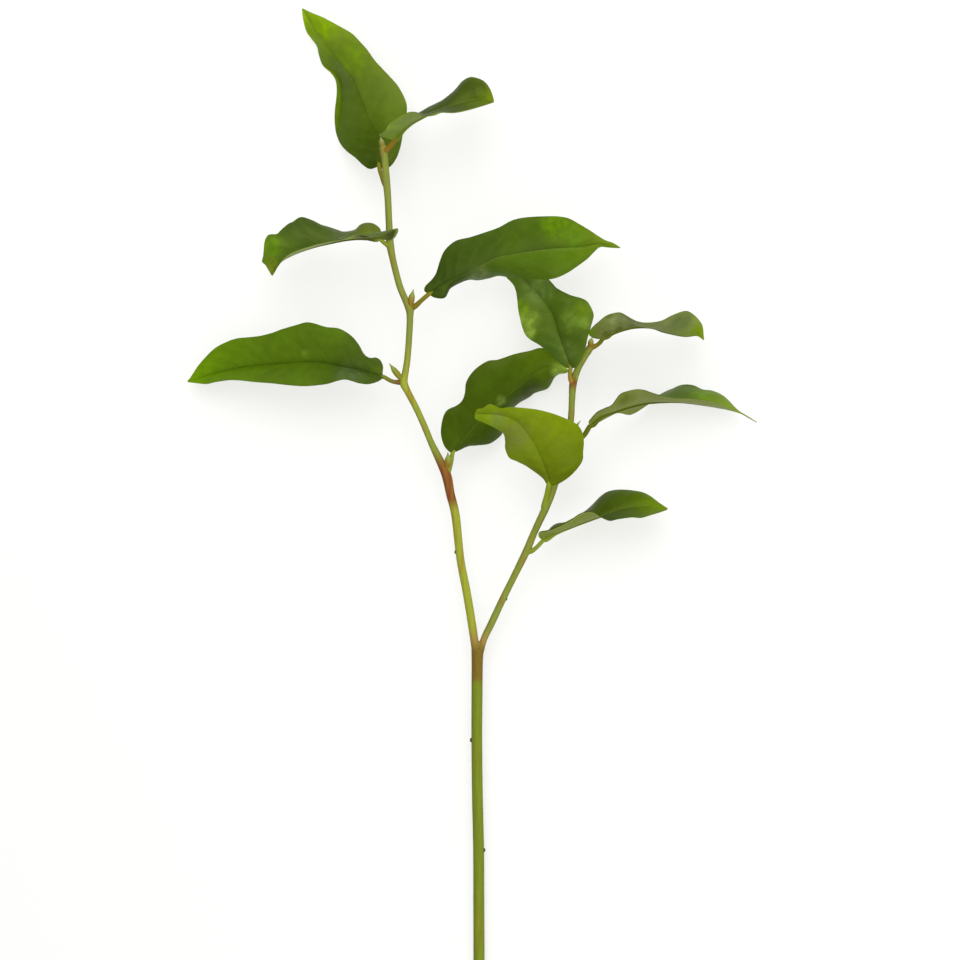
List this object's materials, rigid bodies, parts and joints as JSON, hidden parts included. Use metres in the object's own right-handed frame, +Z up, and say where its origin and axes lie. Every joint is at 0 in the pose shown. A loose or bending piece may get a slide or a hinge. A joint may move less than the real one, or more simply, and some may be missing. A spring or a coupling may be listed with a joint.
{
  "type": "salal sprig",
  "caption": "Cut sprig of salal lying flat: a forked green stem with glossy, leathery leaves, waved and folded.",
  "frame": {"origin": "middle of the sprig's outline on the surface it lies on, at the level of that surface", "axes": "+Y along the stem from the cut end to the tips, +Z up from the surface, +X to the right seen from above"},
  "size_m": [0.2866, 0.5125, 0.049],
  "materials": {
    "leaf": "satin",
    "stem": "satin"
  },
  "bodies": {
    "root": {"stem": "stem", "leaf_left_1": "leaf", "leaf_left_2": "leaf", "leaf_left_3": "leaf", "leaf_left_4": "leaf", "leaf_left_5": "leaf", "leaf_left_6": "leaf", "leaf_right_1": "leaf", "leaf_right_2": "leaf", "leaf_right_3": "leaf", "leaf_right_4": "leaf", "leaf_right_5": "leaf"}
  },
  "joints": []
}
